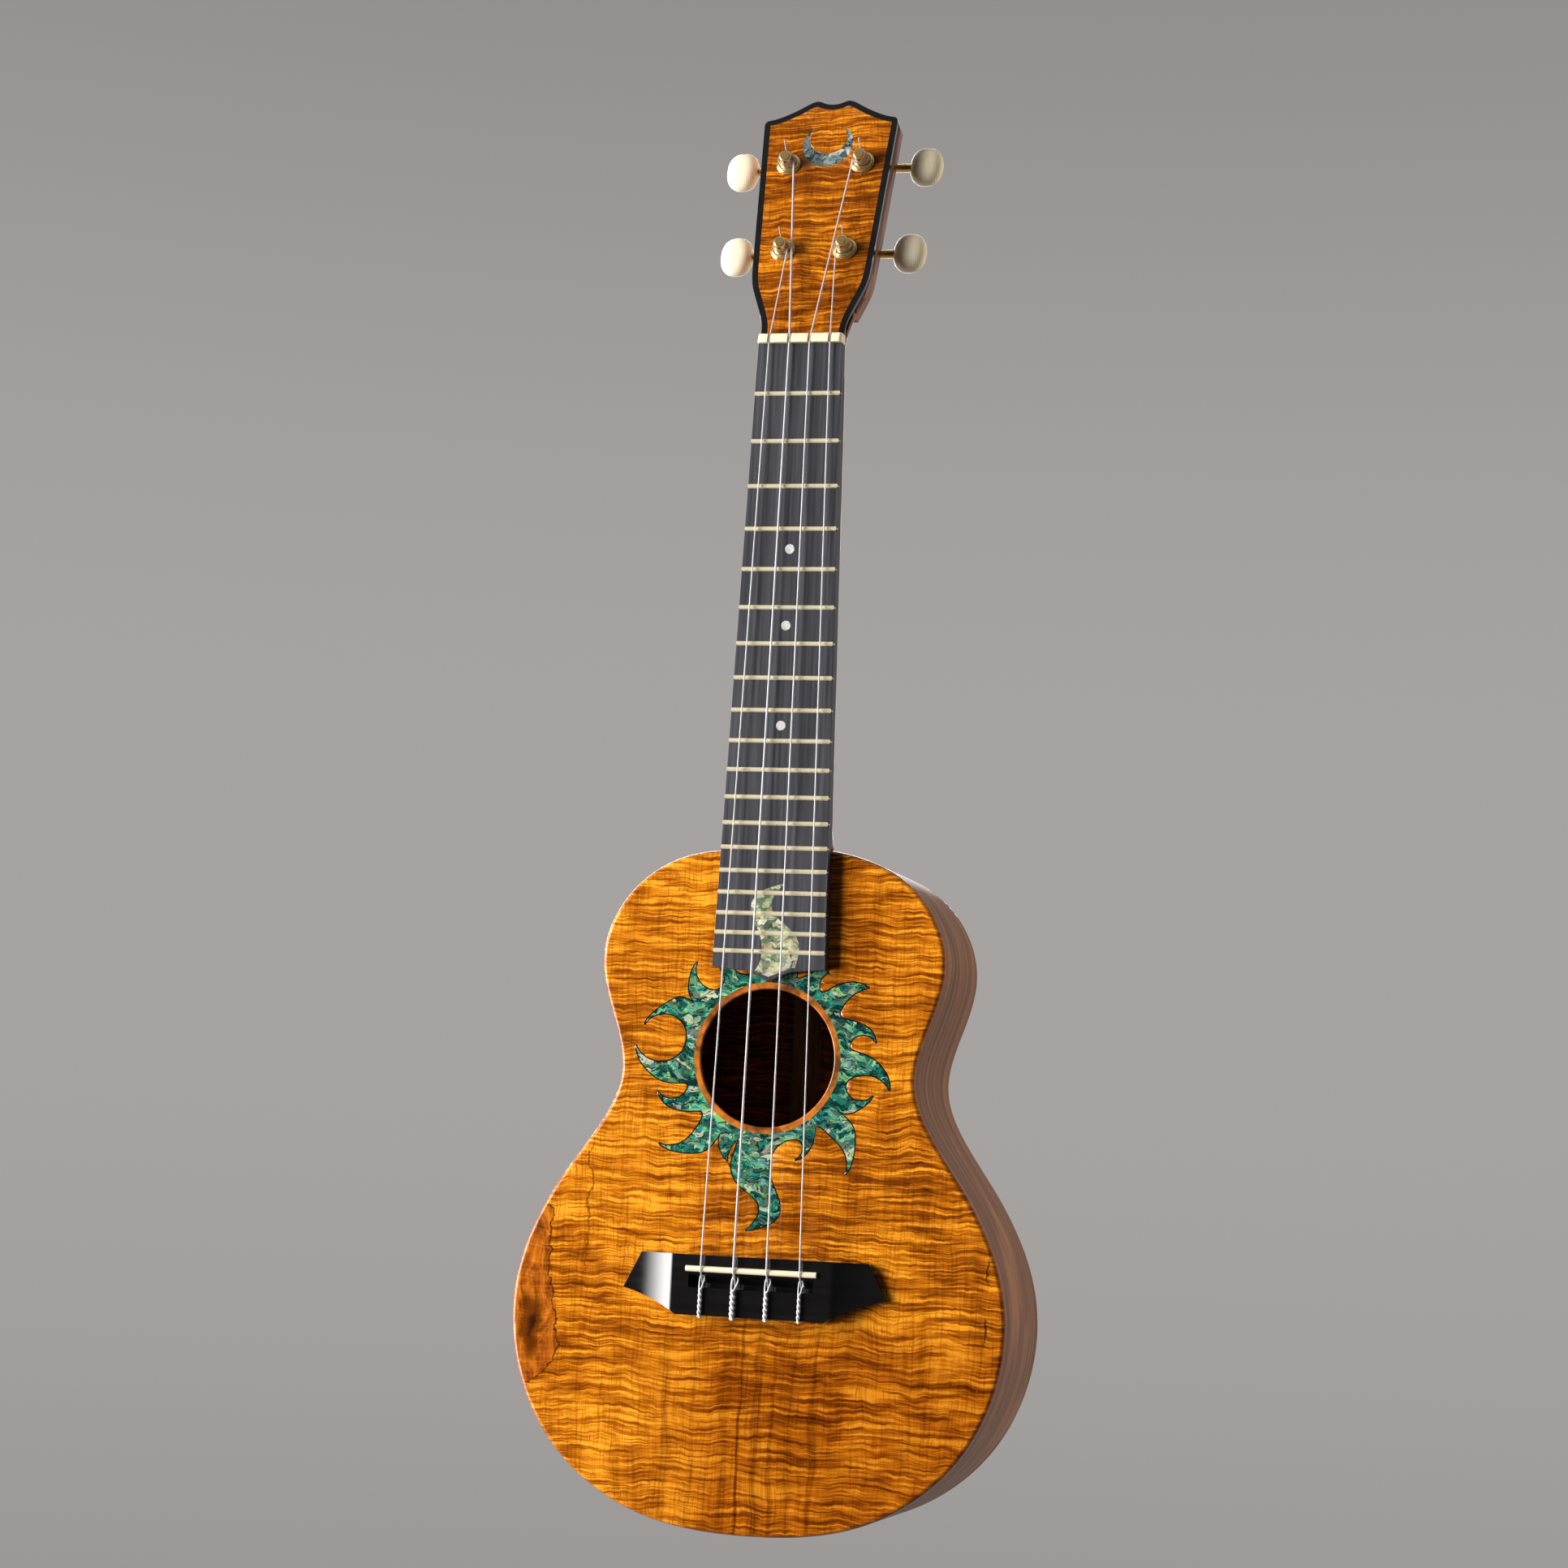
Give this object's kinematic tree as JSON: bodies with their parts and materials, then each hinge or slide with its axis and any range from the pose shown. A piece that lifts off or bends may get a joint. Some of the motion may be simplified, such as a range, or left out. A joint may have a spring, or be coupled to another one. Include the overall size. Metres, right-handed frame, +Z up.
{
  "type": "ukulele",
  "caption": "Concert ukulele with a figured wood body, sun inlay round the soundhole, fretted neck, tie bridge and geared tuners with oval buttons.",
  "frame": {"origin": "yoke seat: on the centre line, at the middle of the neck's thickness just above the nut, where a hanger's two arms pass and the headstock's flare bears on them", "axes": "+Z up the neck towards the headstock, -Y out of the soundboard towards the audience, +X to the right as seen from the front"},
  "size_m": [0.2064, 0.086, 0.6038],
  "materials": {
    "koa_top": "glossy clear finish over curly golden koa",
    "koa_side": "satin finish over brown koa",
    "koa_ring": "glossy, end grain round the soundhole",
    "koa_face": "glossy curly koa veneer",
    "neck_wood": "satin reddish-brown hardwood",
    "lining_wood": "raw sanded wood",
    "brace_wood": "raw sanded softwood",
    "ebony": "matte, nearly black",
    "bridge_wood": "polished black hardwood",
    "binding": "gloss black",
    "inlay_line": "black filler line",
    "shell": "polished abalone shell",
    "pearl": "polished mother-of-pearl",
    "bone": "smooth bone",
    "fret_brass": "polished gold-coloured fret wire",
    "tuner_brass": "polished gold plating",
    "button_cream": "smooth cream plastic",
    "string_nylon": "clear fluorocarbon",
    "steel": "plain zinc-plated steel"
  },
  "bodies": {
    "instrument": {"back_bracing": "brace_wood", "back_plate": "koa_side", "bridge": "bridge_wood", "bridge_plate": "brace_wood", "end_block": "lining_wood", "fretboard": "ebony", "fretboard_inlay": "shell", "frets": "fret_brass", "headstock_binding": "binding", "headstock_face": "koa_face", "headstock_inlay": "shell", "heel_cap": "neck_wood", "linings_back": "lining_wood", "linings_front": "lining_wood", "neck": "neck_wood", "neck_block": "lining_wood", "neck_bolt": "steel", "neck_insert": "steel", "nut": "bone", "position_dots": "pearl", "saddle": "bone", "side_left": "koa_side", "side_right": "koa_side", "soundboard": "koa_top", "soundboard_braces": "brace_wood", "soundhole_ring": "koa_ring", "string_1": "string_nylon", "string_2": "string_nylon", "string_3": "string_nylon", "string_4": "string_nylon", "sun_border": "inlay_line", "sun_inlay": "shell", "tuner_bushings": "tuner_brass", "tuner_plates": "tuner_brass", "tuner_screws": "tuner_brass"},
    "tuner_1_key": {"tuner_1_button": "button_cream", "tuner_1_worm_shaft": "tuner_brass"},
    "tuner_1_spool": {"tuner_1_gear": "tuner_brass", "tuner_1_gear_screw": "tuner_brass", "tuner_1_post": "tuner_brass", "tuner_1_winding": "string_nylon"},
    "tuner_2_key": {"tuner_2_button": "button_cream", "tuner_2_worm_shaft": "tuner_brass"},
    "tuner_2_spool": {"tuner_2_gear": "tuner_brass", "tuner_2_gear_screw": "tuner_brass", "tuner_2_post": "tuner_brass", "tuner_2_winding": "string_nylon"},
    "tuner_3_key": {"tuner_3_button": "button_cream", "tuner_3_worm_shaft": "tuner_brass"},
    "tuner_3_spool": {"tuner_3_gear": "tuner_brass", "tuner_3_gear_screw": "tuner_brass", "tuner_3_post": "tuner_brass", "tuner_3_winding": "string_nylon"},
    "tuner_4_key": {"tuner_4_button": "button_cream", "tuner_4_worm_shaft": "tuner_brass"},
    "tuner_4_spool": {"tuner_4_gear": "tuner_brass", "tuner_4_gear_screw": "tuner_brass", "tuner_4_post": "tuner_brass", "tuner_4_winding": "string_nylon"}
  },
  "joints": [
    {"name": "tuner_1_key_turn", "type": "hinge", "parent": "instrument", "child": "tuner_1_key", "pos_m": [-0.0135, 0.01989, 0.02985], "axis": [-1, 0, 0], "continuous": true},
    {"name": "tuner_1_post_turn", "type": "hinge", "parent": "instrument", "child": "tuner_1_spool", "pos_m": [-0.0135, 0.00424, 0.02789], "axis": [0, -0.9613, 0.2756], "continuous": true},
    {"name": "tuner_2_key_turn", "type": "hinge", "parent": "instrument", "child": "tuner_2_key", "pos_m": [-0.0162, 0.03168, 0.071], "axis": [-1, 0, 0], "continuous": true},
    {"name": "tuner_2_post_turn", "type": "hinge", "parent": "instrument", "child": "tuner_2_spool", "pos_m": [-0.0162, 0.01604, 0.06903], "axis": [0, -0.9613, 0.2756], "continuous": true},
    {"name": "tuner_3_key_turn", "type": "hinge", "parent": "instrument", "child": "tuner_3_key", "pos_m": [0.0162, 0.03168, 0.071], "axis": [1, 0, 0], "continuous": true},
    {"name": "tuner_3_post_turn", "type": "hinge", "parent": "instrument", "child": "tuner_3_spool", "pos_m": [0.0162, 0.01604, 0.06903], "axis": [0, -0.9613, 0.2756], "continuous": true},
    {"name": "tuner_4_key_turn", "type": "hinge", "parent": "instrument", "child": "tuner_4_key", "pos_m": [0.0135, 0.01989, 0.02985], "axis": [1, 0, 0], "continuous": true},
    {"name": "tuner_4_post_turn", "type": "hinge", "parent": "instrument", "child": "tuner_4_spool", "pos_m": [0.0135, 0.00424, 0.02789], "axis": [0, -0.9613, 0.2756], "continuous": true}
  ],
  "couplings": [
    {"joint": "tuner_1_post_turn", "follows": "tuner_1_key_turn", "ratio": 0.071429},
    {"joint": "tuner_2_post_turn", "follows": "tuner_2_key_turn", "ratio": 0.071429},
    {"joint": "tuner_3_post_turn", "follows": "tuner_3_key_turn", "ratio": 0.071429},
    {"joint": "tuner_4_post_turn", "follows": "tuner_4_key_turn", "ratio": 0.071429}
  ]
}
